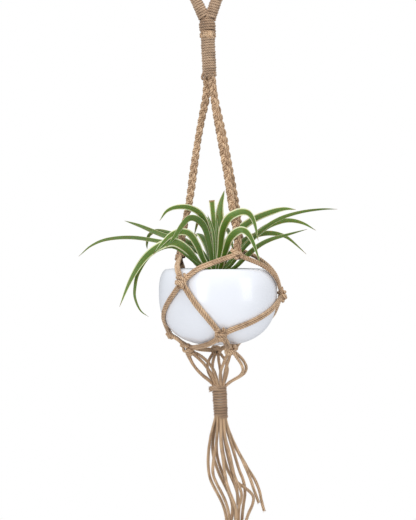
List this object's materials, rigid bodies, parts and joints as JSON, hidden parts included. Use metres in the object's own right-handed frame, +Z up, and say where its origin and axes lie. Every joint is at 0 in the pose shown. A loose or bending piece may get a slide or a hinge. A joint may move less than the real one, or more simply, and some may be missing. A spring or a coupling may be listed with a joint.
{
  "type": "hanging planter",
  "caption": "Hanging macrame planter: jute hanger with wrapped eye, plaited legs, knotted net and tassel, holding a glazed white pot with a spider plant",
  "frame": {"origin": "where the hook touches the inside top of the hanging eye", "axes": "+Z up along the plumb line, -Y front, +X to the right seen from the front; the hook passes through the eye along Y"},
  "size_m": [0.4453, 0.2456, 0.9802],
  "materials": {
    "jute_cord": "matte",
    "jute_wrap": "matte",
    "glaze": "gloss",
    "potting_mix": "matte",
    "leaf": "satin"
  },
  "bodies": {
    "eye": {"eye_core": "jute_cord", "eye_wrap": "jute_wrap"},
    "neck": {"neck_upper_wrap": "jute_wrap"},
    "waist": {"neck_waist_knot": "jute_cord"},
    "gather_pivot": {"gather_core": "jute_cord"},
    "gather": {"gather_wrap": "jute_wrap"},
    "tassel_pivot": {"tassel_core": "jute_cord"},
    "tassel": {"tassel_cord_1": "jute_cord", "tassel_cord_10": "jute_cord", "tassel_cord_11": "jute_cord", "tassel_cord_12": "jute_cord", "tassel_cord_2": "jute_cord", "tassel_cord_3": "jute_cord", "tassel_cord_4": "jute_cord", "tassel_cord_5": "jute_cord", "tassel_cord_6": "jute_cord", "tassel_cord_7": "jute_cord", "tassel_cord_8": "jute_cord", "tassel_cord_9": "jute_cord"},
    "sling": {"gather_cord_back_1": "jute_cord", "gather_cord_back_2": "jute_cord", "gather_cord_back_3": "jute_cord", "gather_cord_back_4": "jute_cord", "gather_cord_front_right_1": "jute_cord", "gather_cord_front_right_2": "jute_cord", "gather_cord_front_right_3": "jute_cord", "gather_cord_front_right_4": "jute_cord", "gather_cord_left_1": "jute_cord", "gather_cord_left_2": "jute_cord", "gather_cord_left_3": "jute_cord", "gather_cord_left_4": "jute_cord", "leg_knot_back_right": "jute_cord", "leg_knot_front_right": "jute_cord", "leg_knot_left": "jute_cord", "leg_plait_back_right": "jute_cord", "leg_plait_front_right": "jute_cord", "leg_plait_left": "jute_cord", "neck_core": "jute_cord", "neck_lower_wrap": "jute_wrap", "net_knot_1_back_left": "jute_cord", "net_knot_1_front_left": "jute_cord", "net_knot_1_right": "jute_cord", "net_knot_2_back_right": "jute_cord", "net_knot_2_front": "jute_cord", "net_knot_2_left": "jute_cord", "net_knot_3_back": "jute_cord", "net_knot_3_front_right": "jute_cord", "net_knot_3_left": "jute_cord", "net_pairs_1_back_right": "jute_cord", "net_pairs_1_front_right": "jute_cord", "net_pairs_1_left": "jute_cord", "net_pairs_2_back_left": "jute_cord", "net_pairs_2_front_left": "jute_cord", "net_pairs_2_right": "jute_cord", "net_pairs_3_back_right": "jute_cord", "net_pairs_3_front": "jute_cord", "net_pairs_3_left": "jute_cord", "pot": "glaze", "soil": "potting_mix", "spider_plant": "leaf"}
  },
  "joints": [
    {"name": "swing_side", "type": "hinge", "parent": "eye", "child": "neck", "pos_m": [0, 0, -0.09008], "axis": [0, 1, 0], "range_deg": [-20, 20]},
    {"name": "swing_front", "type": "hinge", "parent": "neck", "child": "waist", "pos_m": [0, 0, -0.107], "axis": [1, 0, 0], "range_deg": [-20, 20]},
    {"name": "twist", "type": "hinge", "parent": "waist", "child": "sling", "pos_m": [0, 0, -0.107], "axis": [0, 0, 1], "range_deg": [-90, 90]},
    {"name": "gather_swing_side", "type": "hinge", "parent": "sling", "child": "gather_pivot", "pos_m": [-0.003, 0, -0.708], "axis": [0, 1, 0], "range_deg": [-18, 18]},
    {"name": "gather_swing_front", "type": "hinge", "parent": "gather_pivot", "child": "gather", "pos_m": [-0.003, 0, -0.708], "axis": [1, 0, 0], "range_deg": [-18, 18]},
    {"name": "tassel_swing_side", "type": "hinge", "parent": "gather", "child": "tassel_pivot", "pos_m": [-0.003, 0, -0.747], "axis": [0, 1, 0], "range_deg": [-20, 20]},
    {"name": "tassel_swing_front", "type": "hinge", "parent": "tassel_pivot", "child": "tassel", "pos_m": [-0.003, 0, -0.747], "axis": [1, 0, 0], "range_deg": [-20, 20]}
  ]
}
